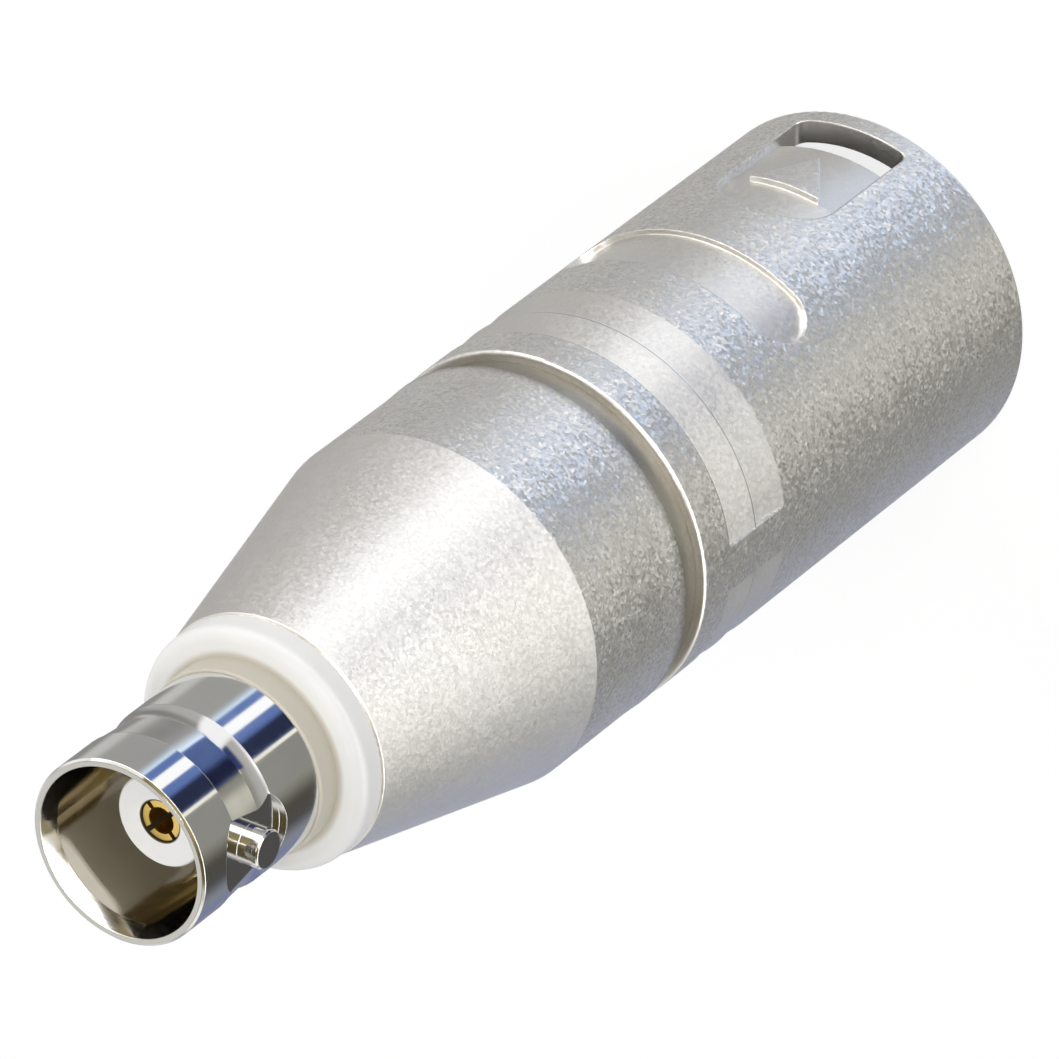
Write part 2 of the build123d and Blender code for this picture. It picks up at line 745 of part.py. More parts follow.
# Circuit board on the pin shoulders, with holes for the tails and the centre lead
board_radius = spigot_bore_radius - board_play
with BuildPart() as circuit_board:
    with BuildSketch(Plane.XY.offset(board_bottom)):
        Circle(board_radius)
        for place in pin_places.values():
            with Locations(place):
                Circle(pin_tail / 2 + wire_play, mode=Mode.SUBTRACT)
        Circle(lead_diameter / 2 + wire_play, mode=Mode.SUBTRACT)
    extrude(amount=board_thickness)
circuit_board.part.label = "circuit_board"
export_step(circuit_board.part, "parts/circuit_board.step")

# Transformer base, a ring that clears the pin tails and carries the windings
with BuildPart() as transformer_base:
    with BuildSketch(Plane.XY.offset(board_top)):
        Circle(base_radius)
        for place in pin_places.values():
            with Locations(place):
                Circle(pin_tail / 2 + key_play, mode=Mode.SUBTRACT)
        Circle(lead_diameter / 2 + key_play, mode=Mode.SUBTRACT)
    extrude(amount=base_thickness)
transformer_base.part.label = "transformer_base"
export_step(transformer_base.part, "parts/transformer_base.step")

# Ring core of the transformer
with BuildPart() as transformer_core:
    with BuildSketch(Plane.XY.offset(core_bottom)):
        Circle(core_radius)
        Circle(core_hole_radius, mode=Mode.SUBTRACT)
    extrude(amount=core_height)
    chamfer(transformer_core.edges().filter_by(GeomType.CIRCLE), core_edge)
transformer_core.part.label = "transformer_core"
export_step(transformer_core.part, "parts/transformer_core.step")


def make_winding(middle_azimuth):
    """One winding: a closed wrap round a stretch of the ring core."""
    room_width = core_radius - core_hole_radius + 2 * wire_play
    room_height = core_height + 2 * wire_play
    with BuildPart() as winding:
        with BuildSketch(radial_plane(middle_azimuth - winding_angle / 2)):
            with Locations(((core_radius + core_hole_radius) / 2, core_bottom + core_height / 2)):
                RectangleRounded(
                    room_width + 2 * winding_thickness,
                    room_height + 2 * winding_thickness,
                    winding_thickness,
                )
                Rectangle(room_width, room_height, mode=Mode.SUBTRACT)
        revolve(axis=Axis.Z, revolution_arc=winding_angle)
    return winding.part


for winding_name, winding_azimuth in (("primary_winding", 0), ("secondary_winding", 180)):
    winding_part = make_winding(winding_azimuth)
    winding_part.label = winding_name
    export_step(winding_part, f"parts/{winding_name}.step")

# Centre lead: straight, from the solder cup through the core to the board's underside
with BuildPart() as centre_lead:
    lead_bottom = board_bottom - pin_tail_height
    lead_top = contact_tail_bottom + solder_cup_depth - seat_play
    with BuildSketch(Plane.XY.offset(lead_bottom)):
        Circle(lead_diameter / 2)
    extrude(amount=lead_top - lead_bottom)
centre_lead.part.label = "centre_lead"
export_step(centre_lead.part, "parts/centre_lead.step")

# Ground lead: straight, from the outside of the tag's tail down to the board
with BuildPart() as ground_lead:
    tag_tail_bottom = tag_bottom - tag_tail_length
    ground_start = Vector(0, tail_inner + tag_thickness / 2, tag_tail_bottom - wire_play)
    ground_end = Vector(0, lead_foot_radius, board_top + wire_play)
    ground_run = ground_end - ground_start
    with BuildSketch(Plane(origin=ground_start, z_dir=ground_run)):
        Circle(ground_lead_diameter / 2)
    extrude(amount=ground_run.length)
ground_lead.part.label = "ground_lead"
export_step(ground_lead.part, "parts/ground_lead.step")

# Insulating sleeve that keeps the transformer off the rear shell
with BuildPart() as insulating_sleeve:
    with BuildSketch(Plane.XY.offset(board_top)):
        Circle(sleeve_radius)
        Circle(sleeve_radius - sleeve_thickness, mode=Mode.SUBTRACT)
    extrude(amount=bore_cone_start - sleeve_end - board_top)
insulating_sleeve.part.label = "insulating_sleeve"
export_step(insulating_sleeve.part, "parts/insulating_sleeve.step")
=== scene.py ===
"""In-line adapter with a BNC jack on a satin shell with an XLR mouth: finishes, windings, stage."""

import math

import bpy
import numpy as np
from mathutils import Matrix, Vector


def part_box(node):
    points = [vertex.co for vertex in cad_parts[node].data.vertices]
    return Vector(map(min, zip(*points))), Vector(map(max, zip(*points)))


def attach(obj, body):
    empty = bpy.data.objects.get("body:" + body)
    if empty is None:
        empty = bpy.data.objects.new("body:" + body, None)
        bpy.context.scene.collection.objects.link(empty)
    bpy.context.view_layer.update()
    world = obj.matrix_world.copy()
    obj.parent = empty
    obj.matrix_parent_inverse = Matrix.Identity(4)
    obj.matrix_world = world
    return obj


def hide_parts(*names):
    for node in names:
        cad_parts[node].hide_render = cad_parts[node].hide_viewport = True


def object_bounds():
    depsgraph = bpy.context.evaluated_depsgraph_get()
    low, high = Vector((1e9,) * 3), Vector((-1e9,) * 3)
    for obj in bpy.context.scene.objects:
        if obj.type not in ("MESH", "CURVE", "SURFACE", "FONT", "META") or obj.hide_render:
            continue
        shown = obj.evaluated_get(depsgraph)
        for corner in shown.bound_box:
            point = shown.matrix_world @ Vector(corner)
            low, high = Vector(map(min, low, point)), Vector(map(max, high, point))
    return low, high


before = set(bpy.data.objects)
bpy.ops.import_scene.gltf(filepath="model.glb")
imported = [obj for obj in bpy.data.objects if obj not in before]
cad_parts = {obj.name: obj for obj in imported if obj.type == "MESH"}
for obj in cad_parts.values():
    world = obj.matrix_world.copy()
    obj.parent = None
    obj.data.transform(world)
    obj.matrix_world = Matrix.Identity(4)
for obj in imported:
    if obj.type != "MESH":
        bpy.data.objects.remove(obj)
cad_low, cad_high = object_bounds()

bl_info = {
    "name": "Coaxial to three-pole adapter",
    "version": (1, 0, 0),
    "blender": (4, 5, 0),
    "location": "View3D > Sidebar > Adapter",
    "description": "Plated, gilt and moulded finishes, wire windings and a pale stage for an adapter",
    "category": "Object",
}

BODY = "root"
SHELL_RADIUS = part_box("xlr_shell")[1].x
REAR_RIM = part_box("xlr_shell")[1].z

# Blasted plate. Its grain grows from none to full between two distances from the axis, and fades
# from full to none between two tilts of the surface
OUTER_SKIN = (SHELL_RADIUS - 0.0005, SHELL_RADIUS - 0.0001)
UPRIGHT = (0.03, 0.1)
# tones of the darkest and the lightest grain, as shares of the plate's colour
GRAIN_TONES = (0.79, 1.19)
# what is left of the grain's tone and lean where it is faint
FAINT_TONE = 0.15
FAINT_LEAN = 0.2
# how much rougher the darkest grain is than the mean, and smoother the lightest
SATIN_SPREAD = 0.04
SATIN_CLOUD = 0.006
CLOUD_TINT = (0.97, 0.965, 0.95)
# painted shade in the groove behind the front shell's rear rim: a dark tint, full below the first
# height, none above the second
GROOVE_SHADE = (REAR_RIM + 0.0014, REAR_RIM + 0.0022, (0.5, 0.48, 0.44))

# Bright plate: width of a cloud, pitch of the turned rings, and the shares of colour and of
# roughness between which the clouds vary
BRIGHT_CLOUD = 0.003
RING_PITCH = 0.00009
BRIGHT_TONES = (0.97, 1.02)
BRIGHT_GLOSS = (0.8, 1.25)

# Plastic: width of a cloud, and how far the roughness varies with the skin's grain
PLASTIC_CLOUD = 0.004
PLASTIC_SPREAD = 0.05

# Board: weaves and lands per metre, where a land ends as a share of its cell, and the weave's depth
WEAVES = 2500.0
LANDS = 380.0
LAND_EDGE = (0.2, 0.24)
WEAVE_DEPTH = 0.00001

# Tints round the axis, full inside the first distance, none outside the second: a painted warm
# reflection in the jack's bore, painted shade at the foot of the insulator's boss, and painted shade
# in the hole round the centre contact
BORE_PAINTED_REFLECTION = (0.0041, 0.0043, (1.0, 0.955, 0.85))
BOSS_PAINTED_SHADE = (0.005, 0.0054, (0.7, 0.66, 0.57))
CONTACT_HOLE_SHADE = (0.00112, 0.00118, (0.1, 0.08, 0.05))

# Colours that have no setting of their own
WHITE = (1.0, 1.0, 1.0)
SILVER = (0.82, 0.8, 0.76)
STEEL = (0.6, 0.59, 0.57)
TIN = (0.72, 0.71, 0.69)
COPPER = (0.75, 0.27, 0.09)
FERRITE = (0.07, 0.07, 0.072)
FILM = (0.62, 0.4, 0.12)
LAMINATE = (0.03, 0.2, 0.08)
LAND = (0.8, 0.62, 0.45)

# Windings: steps along a turn, sides of the wire, power of the superellipse round the core's
# section, and degrees of the ring that one winding covers
TURN_STEPS = 28
WIRE_SIDES = 8
SECTION_POWER = 8
WINDING_SPREAD = 120.0


# Shader nodes

def feed(tree, socket, value):
    """Links an input to a socket, or sets it to a value."""
    if isinstance(value, bpy.types.NodeSocket):
        tree.links.new(value, socket)
    else:
        socket.default_value = value


def add_node(tree, kind, inputs=None, **settings):
    """Adds one node; inputs maps a socket's name or number to a value or to a socket."""
    made = tree.nodes.new(kind)
    for name, value in settings.items():
        setattr(made, name, value)
    for key, value in (inputs or {}).items():
        feed(tree, made.inputs[key], value)
    return made


def math_node(tree, operation, *values):
    """One Math node; gives its output socket."""
    return add_node(tree, "ShaderNodeMath", dict(enumerate(values)), operation=operation).outputs[0]


def map_range(tree, value, low, high, to_low, to_high, smooth=False):
    """Maps low..high to to_low..to_high, clamped; gives the output socket."""
    kind = "SMOOTHSTEP" if smooth else "LINEAR"
    ends = {"From Min": low, "From Max": high, "To Min": to_low, "To Max": to_high}
    return add_node(
        tree, "ShaderNodeMapRange", {"Value": value, **ends}, interpolation_type=kind
    ).outputs["Result"]


def mix_color(tree, factor, first, second, blend="MIX"):
    """Mixes two colours; gives the output socket."""
    made = add_node(
        tree, "ShaderNodeMix", {0: factor, 6: first, 7: second}, data_type="RGBA", blend_type=blend)
    return made.outputs[2]


def new_group(name, inputs, outputs):
    """A shader group with its sockets; inputs are (name, kind, default)."""
    tree = bpy.data.node_groups.new(name, "ShaderNodeTree")
    for label, kind, default in inputs:
        socket = tree.interface.new_socket(label, in_out="INPUT", socket_type="NodeSocket" + kind)
        if default is not None:
            socket.default_value = default
    for label, kind in outputs:
        tree.interface.new_socket(label, in_out="OUTPUT", socket_type="NodeSocket" + kind)
    return tree, tree.nodes.new("NodeGroupInput"), tree.nodes.new("NodeGroupOutput")


def use_group(tree, group, **inputs):
    """Places a shader group; an input's name has _ for a space."""
    made = tree.nodes.new("ShaderNodeGroup")
    made.node_tree = group
    for key, value in inputs.items():
        feed(tree, made.inputs[key.replace("_", " ")], value)
    return made


def rgba(color, factor=1.0):
    """A colour of four numbers, made lighter or darker by a factor."""
    return (color[0] * factor, color[1] * factor, color[2] * factor, 1.0)


def mirrored_rays(tree, path):
    """1 for a ray that comes off a mirror or through glass, else 0; path is a Light Path node."""
    return math_node(
        tree, "MAXIMUM", path.outputs["Is Glossy Ray"], path.outputs["Is Transmission Ray"])


def blasted_grain():
    """Grain of a blasted surface: cells one grain wide, each with its own tone and its own lean.

    Height is a fine noise inside the grains, Tone is random from cell to cell, and Lean is a
    random way, from -1 to 1 on each axis, that turns a cell's normal.
    """
    tree, given, result = new_group(
        "blasted_grain",
        [("Grain", "Float", 0.0002)],
        [("Height", "Float"), ("Tone", "Float"), ("Lean", "Vector")],
    )
    place = add_node(tree, "ShaderNodeTexCoord").outputs["Object"]
    scale = math_node(tree, "DIVIDE", 1.0, given.outputs["Grain"])
    cells = add_node(tree, "ShaderNodeTexVoronoi", {"Vector": place, "Scale": scale})
    lean = add_node(
        tree, "ShaderNodeVectorMath",
        {0: cells.outputs["Color"], 1: (2.0, 2.0, 2.0), 2: (-1.0, -1.0, -1.0)},
        operation="MULTIPLY_ADD")
    tree.links.new(lean.outputs[0], result.inputs["Lean"])
    parts = add_node(tree, "ShaderNodeSeparateColor", {"Color": cells.outputs["Color"]})
    tree.links.new(parts.outputs[0], result.inputs["Tone"])
    fine = add_node(
        tree, "ShaderNodeTexNoise", {"Vector": place, "Scale": scale, "Detail": 2.0, "Roughness": 0.6}
    ).outputs["Fac"]
    tree.links.new(fine, result.inputs["Height"])
    return tree


def soft_clouds():
    """Slow change over a surface, as from handling or uneven plating: one wide noise."""
    tree, given, result = new_group("soft_clouds", [("Size", "Float", 0.005)], [("Mask", "Float")])
    place = add_node(tree, "ShaderNodeTexCoord").outputs["Object"]
    scale = math_node(tree, "DIVIDE", 1.0, given.outputs["Size"])
    cloud = add_node(
        tree, "ShaderNodeTexNoise", {"Vector": place, "Scale": scale, "Detail": 3.0, "Roughness": 0.55}
    ).outputs["Fac"]
    tree.links.new(map_range(tree, cloud, 0.3, 0.7, 0.0, 1.0, smooth=True), result.inputs["Mask"])
    return tree


def lathe_marks():
    """Fine rings round the axis that turning leaves: noise that changes only with height."""
    tree, given, result = new_group(
        "lathe_marks", [("Pitch", "Float", 0.00008)], [("Height", "Float")])
    place = add_node(tree, "ShaderNodeTexCoord").outputs["Object"]
    parts = add_node(tree, "ShaderNodeSeparateXYZ", {"Vector": place})
    along = math_node(tree, "DIVIDE", parts.outputs["Z"], given.outputs["Pitch"])
    rings = add_node(
        tree, "ShaderNodeTexNoise", {"W": along, "Scale": 1.0, "Detail": 1.0}, noise_dimensions="1D"
    ).outputs["Fac"]
    tree.links.new(rings, result.inputs["Height"])
    return tree


def axis_place():
    """Place about the long axis: Reach is the distance from it, Height is the length along it.

    Tilt is how far the surface faces up or down: 0 on a cylinder, and 1 across the axis.
    """
    tree, _, result = new_group(
        "axis_place", [], [("Reach", "Float"), ("Height", "Float"), ("Tilt", "Float")])
    spot = add_node(tree, "ShaderNodeTexCoord").outputs
    place = spot["Object"]
    parts = add_node(tree, "ShaderNodeSeparateXYZ", {"Vector": place})
    across = add_node(
        tree, "ShaderNodeVectorMath", {0: place, 1: (1.0, 1.0, 0.0)}, operation="MULTIPLY")
    reach = add_node(
        tree, "ShaderNodeVectorMath", {0: across.outputs[0]}, operation="LENGTH").outputs["Value"]
    tree.links.new(reach, result.inputs["Reach"])
    tree.links.new(parts.outputs["Z"], result.inputs["Height"])
    facing = add_node(tree, "ShaderNodeSeparateXYZ", {"Vector": spot["Normal"]})
    tree.links.new(math_node(tree, "ABSOLUTE", facing.outputs["Z"]), result.inputs["Tilt"])
    return tree


def new_material(name):
    """A material with a Principled shader; gives the material, its tree and the shader."""
    made = bpy.data.materials.new(name)
    made.use_nodes = True
    tree = made.node_tree
    tree.nodes.clear()
    shader = tree.nodes.new("ShaderNodeBsdfPrincipled")
    output = tree.nodes.new("ShaderNodeOutputMaterial")
    tree.links.new(shader.outputs["BSDF"], output.inputs["Surface"])
    return made, tree, shader


def bump(tree, shader, height, distance, normal=None):
    """Feeds a height, in units of distance, to the shader's normal, over another normal."""
    made = add_node(tree, "ShaderNodeBump", {"Height": height, "Distance": distance})
    if normal is not None:
        tree.links.new(normal, made.inputs["Normal"])
    tree.links.new(made.outputs["Normal"], shader.inputs["Normal"])


def worn_edges(tree, radius):
    """A normal that rolls over every edge, as a cast, blasted or plated edge does."""
    return add_node(tree, "ShaderNodeBevel", {"Radius": radius}, samples=6).outputs["Normal"]


def lean_over(tree, normal, lean, amount):
    """Turns a normal by an amount of a lean."""
    moved = add_node(
        tree, "ShaderNodeVectorMath", {0: lean, 1: amount, 2: normal}, operation="MULTIPLY_ADD")
    return add_node(
        tree, "ShaderNodeVectorMath", {0: moved.outputs[0]}, operation="NORMALIZE").outputs[0]


def tinted_inside(tree, groups, tone, full, none, tint):
    """Multiplies a colour by a tint inside a distance from the axis; gives the output socket."""
    place = use_group(tree, groups["place"]).outputs
    share = map_range(tree, place["Reach"], full, none, 1.0, 0.0, smooth=True)
    return mix_color(tree, share, tone, rgba(tint), "MULTIPLY")


def blasted_metal(name, groups, color, roughness, grain, lean, depth, edge, groove=None):
    """Plated metal with a blasted grain: specks in colour, gloss and normal, slow clouds.

    The grain is full on the outermost cylinders, and faint on what lies behind them or slopes,
    such as the cone. A groove is two heights and a dark tint that paints shade into the groove:
    full below the first, none above the second.
    """
    made, tree, shader = new_material(name)
    grains = use_group(tree, groups["grain"], Grain=grain)
    clouds = use_group(tree, groups["clouds"], Size=SATIN_CLOUD)
    place = use_group(tree, groups["place"]).outputs
    outer = map_range(tree, place["Reach"], *OUTER_SKIN, 0.0, 1.0, smooth=True)
    upright = map_range(tree, place["Tilt"], *UPRIGHT, 1.0, 0.0)
    full = math_node(tree, "MULTIPLY", outer, upright)
    darkest, lightest = GRAIN_TONES
    speck = mix_color(tree, grains.outputs["Tone"], rgba(color, darkest), rgba(color, lightest))
    speck = mix_color(tree, map_range(tree, full, 0.0, 1.0, FAINT_TONE, 1.0), rgba(color), speck)
    faded = mix_color(tree, clouds.outputs["Mask"], rgba(CLOUD_TINT), rgba(WHITE))
    tone = mix_color(tree, 1.0, speck, faded, "MULTIPLY")
    if groove is not None:
        low, high, tint = groove
        # painted shade: the base colour darkens in the groove behind the front shell's rear rim
        painted_groove_shade = map_range(tree, place["Height"], low, high, 1.0, 0.0, smooth=True)
        tone = mix_color(tree, painted_groove_shade, tone, rgba(tint), "MULTIPLY")
    tree.links.new(tone, shader.inputs["Base Color"])
    rough, smooth = roughness + SATIN_SPREAD, roughness - SATIN_SPREAD
    tree.links.new(
        map_range(tree, grains.outputs["Tone"], 0.0, 1.0, rough, smooth), shader.inputs["Roughness"])
    shader.inputs["Metallic"].default_value = 1.0
    amount = map_range(tree, full, 0.0, 1.0, lean * FAINT_LEAN, lean)
    normal = lean_over(tree, worn_edges(tree, edge), grains.outputs["Lean"], amount)
    bump(tree, shader, grains.outputs["Height"], depth, normal)
    return made


def polished_metal(
        name, groups, color, roughness, edge=0.00005, marks=0.0000004, painted_reflection=None):
    """Bright plate on a turned surface: faint rings, slow clouds in the gloss.

    Edge is the radius of its edges and marks the height of the rings. The last argument is two
    distances from the axis and a warm tint, a painted reflection inside the bore: full inside the
    first, none outside the second.
    """
    made, tree, shader = new_material(name)
    rings = use_group(tree, groups["rings"], Pitch=RING_PITCH)
    clouds = use_group(tree, groups["clouds"], Size=BRIGHT_CLOUD)
    darkest, lightest = BRIGHT_TONES
    tone = mix_color(tree, clouds.outputs["Mask"], rgba(color, darkest), rgba(color, lightest))
    if painted_reflection is not None:
        # painted reflection: a warm tint on the metal inside the jack's bore
        tone = tinted_inside(tree, groups, tone, *painted_reflection)
    tree.links.new(tone, shader.inputs["Base Color"])
    smooth, rough = (roughness * share for share in BRIGHT_GLOSS)
    tree.links.new(
        map_range(tree, clouds.outputs["Mask"], 0.0, 1.0, smooth, rough), shader.inputs["Roughness"])
    shader.inputs["Metallic"].default_value = 1.0
    bump(tree, shader, rings.outputs["Height"], marks, worn_edges(tree, edge))
    return made


def moulded_plastic(
        name, groups, color, roughness, grain=0.00012, depth=0.000002, clouding=0.97, painted_shade=None):
    """Moulded or turned plastic: a fine skin grain and slow clouds in colour and gloss.

    Grain is the width and depth the height of the skin's grain, and clouding the tone of the
    clouds. The last argument is two distances from the axis and a dark tint, painted shade in a
    hollow: full inside the first, none outside the second.
    """
    made, tree, shader = new_material(name)
    grains = use_group(tree, groups["grain"], Grain=grain)
    clouds = use_group(tree, groups["clouds"], Size=PLASTIC_CLOUD)
    tone = mix_color(tree, clouds.outputs["Mask"], rgba(color, clouding), rgba(color))
    if painted_shade is not None:
        # painted shade: the base colour darkens near the axis, in a hollow where shade falls
        tone = tinted_inside(tree, groups, tone, *painted_shade)
    tree.links.new(tone, shader.inputs["Base Color"])
    rough, smooth = roughness + PLASTIC_SPREAD, roughness - PLASTIC_SPREAD
    tree.links.new(
        map_range(tree, grains.outputs["Tone"], 0.0, 1.0, rough, smooth), shader.inputs["Roughness"])
    bump(tree, shader, grains.outputs["Height"], depth)
    return made


def board_laminate(name, color, copper):
    """Green laminate with a woven glass texture and round copper lands."""
    made, tree, shader = new_material(name)
    place = add_node(tree, "ShaderNodeTexCoord").outputs["Object"]
    weave = add_node(
        tree, "ShaderNodeTexBrick",
        {"Vector": place, "Scale": WEAVES, "Mortar Size": 0.03, "Color1": rgba(color, 0.9),
         "Color2": rgba(color, 1.1), "Mortar": rgba(color, 0.7)},
    )
    rings = add_node(tree, "ShaderNodeTexVoronoi", {"Vector": place, "Scale": LANDS}, feature="F1")
    land = map_range(tree, rings.outputs["Distance"], *LAND_EDGE, 1.0, 0.0)
    tone = mix_color(tree, land, weave.outputs["Color"], rgba(copper))
    tree.links.new(tone, shader.inputs["Base Color"])
    tree.links.new(map_range(tree, land, 0.0, 1.0, 0.4, 0.25), shader.inputs["Roughness"])
    tree.links.new(land, shader.inputs["Metallic"])
    bump(tree, shader, weave.outputs["Fac"], WEAVE_DEPTH)
    return made


# Settings that a user would change

class FinishSettings(bpy.types.PropertyGroup):
    """Colours and surfaces of the pieces."""

    satin_color: bpy.props.FloatVectorProperty(
        name="Satin plate", description="Colour of the blasted plate on both shells",
        subtype="COLOR", size=3, min=0.0, max=1.0, default=(0.735, 0.725, 0.7))
    satin_roughness: bpy.props.FloatProperty(
        name="Satin roughness", description="Roughness of both shells", min=0.0, max=1.0,
        subtype="FACTOR", default=0.4)
    grain_size: bpy.props.FloatProperty(
        name="Grain", description="Width of a grain of the blasted surface", unit="LENGTH",
        min=0.00002, max=0.002, precision=5, default=0.00015)
    grain_lean: bpy.props.FloatProperty(
        name="Grain lean", description="How far each grain turns its light away", min=0.0, max=1.0,
        subtype="FACTOR", default=0.15)
    grain_depth: bpy.props.FloatProperty(
        name="Grain depth", description="Height of the fine grain", unit="LENGTH",
        min=0.0, max=0.0002, precision=6, default=0.000004)
    edge_round: bpy.props.FloatProperty(
        name="Edge rounding", description="Radius that blasting leaves on the shells' edges",
        unit="LENGTH", min=0.0, max=0.001, precision=5, default=0.00013)
    bright_color: bpy.props.FloatVectorProperty(
        name="Bright plate", description="Colour of the polished plate on the jack",
        subtype="COLOR", size=3, min=0.0, max=1.0, default=(0.68, 0.675, 0.66))
    bright_roughness: bpy.props.FloatProperty(
        name="Bright roughness", description="Roughness of the jack", min=0.0, max=1.0,
        subtype="FACTOR", default=0.09)
    gold_color: bpy.props.FloatVectorProperty(
        name="Gold plate", description="Colour of the centre contact",
        subtype="COLOR", size=3, min=0.0, max=1.0, default=(1.0, 0.73, 0.24))
    white_color: bpy.props.FloatVectorProperty(
        name="White plastic", description="Colour of the insulator",
        subtype="COLOR", size=3, min=0.0, max=1.0, default=(0.87, 0.865, 0.85))
    dielectric_color: bpy.props.FloatVectorProperty(
        name="White dielectric", description="Colour of the jack's dielectric and its rear bush",
        subtype="COLOR", size=3, min=0.0, max=1.0, default=(0.96, 0.96, 0.97))
    black_color: bpy.props.FloatVectorProperty(
        name="Black plastic", description="Colour of the insert",
        subtype="COLOR", size=3, min=0.0, max=1.0, default=(0.018, 0.018, 0.019))


class WindingSettings(bpy.types.PropertyGroup):
    """The transformer's wire."""

    turns: bpy.props.IntProperty(
        name="Turns", description="Turns of each winding", min=4, max=60, default=20)
    wire_diameter: bpy.props.FloatProperty(
        name="Wire", description="Diameter of the enamelled wire", unit="LENGTH",
        min=0.0001, max=0.0005, precision=5, default=0.0004)


class StageSettings(bpy.types.PropertyGroup):
    """Floor and light."""

    floor_size: bpy.props.FloatProperty(
        name="Floor", description="Width of the floor", unit="LENGTH", min=0.2, max=20.0, default=4.0)
    key_power: bpy.props.FloatProperty(
        name="Key light", description="Power of the large soft lamp", unit="POWER",
        min=0.0, max=100.0, default=0.85)
    top_power: bpy.props.FloatProperty(
        name="Top light", description="Power of the small lamp above the jack", unit="POWER",
        min=0.0, max=100.0, default=1.0)
    room_level: bpy.props.FloatProperty(
        name="Room light", description="Level of the even light from all round",
        min=0.0, max=3.0, default=0.63)


def assign(material, *names):
    """Puts a material on every slot of CAD nodes."""
    for name in names:
        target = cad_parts[name]
        if not target.material_slots:
            target.data.materials.append(material)
        for slot in target.material_slots:
            slot.material = material


def shared_groups():
    """The shader groups, built once."""
    makers = {
        "grain": blasted_grain, "clouds": soft_clouds, "rings": lathe_marks, "place": axis_place}
    return {
        name: bpy.data.node_groups.get(maker.__name__) or maker() for name, maker in makers.items()
    }


class ADAPTER_OT_finish_shells(bpy.types.Operator):
    """Gives both shells their blasted satin plate."""

    bl_idname = "adapter.finish_shells"
    bl_label = "Finish shells"

    def execute(self, context):
        wanted = context.scene.adapter_finish
        finish = (
            shared_groups(), wanted.satin_color, wanted.satin_roughness, wanted.grain_size,
            wanted.grain_lean, wanted.grain_depth)
        assign(blasted_metal("satin_nickel", *finish, wanted.edge_round), "xlr_shell")
        # the rear shell also gets painted shade in its groove
        assign(blasted_metal("satin_nickel_rear", *finish, wanted.edge_round / 2, GROOVE_SHADE),
               "rear_shell")
        return {"FINISHED"}


class ADAPTER_OT_finish_jack(bpy.types.Operator):
    """Gives the jack its bright plate, gold contact and white plastics."""

    bl_idname = "adapter.finish_jack"
    bl_label = "Finish jack"

    def execute(self, context):
        wanted = context.scene.adapter_finish
        groups = shared_groups()
        # the jack's bore gets a painted warm reflection
        assign(polished_metal("bright_nickel", groups, wanted.bright_color, wanted.bright_roughness,
                              painted_reflection=BORE_PAINTED_REFLECTION),
               "bnc_body", "bnc_nut")
        assign(polished_metal("gold_plate", groups, wanted.gold_color, roughness=0.28),
               "bnc_contact")
        # painted shade at the foot of the insulator's boss, beside the jack
        assign(moulded_plastic("white_insulator", groups, wanted.white_color, roughness=0.42,
                               painted_shade=BOSS_PAINTED_SHADE),
               "insulator_ring", "insulator_bush")
        # painted shade in the hole round the centre contact
        assign(moulded_plastic("white_dielectric", groups, wanted.dielectric_color, roughness=0.4,
                               painted_shade=CONTACT_HOLE_SHADE),
               "bnc_dielectric", "bnc_rear_bush")
        return {"FINISHED"}


class ADAPTER_OT_finish_insert(bpy.types.Operator):
    """Gives the insert, its pins and the grounding leaf their finishes."""

    bl_idname = "adapter.finish_insert"
    bl_label = "Finish insert and pins"

    def execute(self, context):
        wanted = context.scene.adapter_finish
        groups = shared_groups()
        assign(moulded_plastic("black_insulator", groups, wanted.black_color, roughness=0.5,
                               grain=0.00015, depth=0.000004),
               "xlr_insert", "transformer_base")
        assign(polished_metal("silver_plate", groups, SILVER, roughness=0.18),
               "xlr_pin_1", "xlr_pin_2", "xlr_pin_3")
        assign(polished_metal("spring_steel", groups, STEEL, roughness=0.26),
               "ground_leaf", "lock_washer")
        return {"FINISHED"}


class ADAPTER_OT_finish_inner(bpy.types.Operator):
    """Gives the board, the core, the leads and the sleeve their finishes."""

    bl_idname = "adapter.finish_inner"
    bl_label = "Finish inner parts"

    def execute(self, context):
        groups = shared_groups()
        assign(board_laminate("board_laminate", LAMINATE, LAND), "circuit_board")
        assign(moulded_plastic("ferrite", groups, FERRITE, roughness=0.6, grain=0.00025,
                               depth=0.00001, clouding=0.85),
               "transformer_core")
        assign(polished_metal("tinned_wire", groups, TIN, roughness=0.3),
               "ground_tag", "centre_lead", "ground_lead")
        assign(moulded_plastic("sleeve_film", groups, FILM, roughness=0.25), "insulating_sleeve")
        return {"FINISHED"}


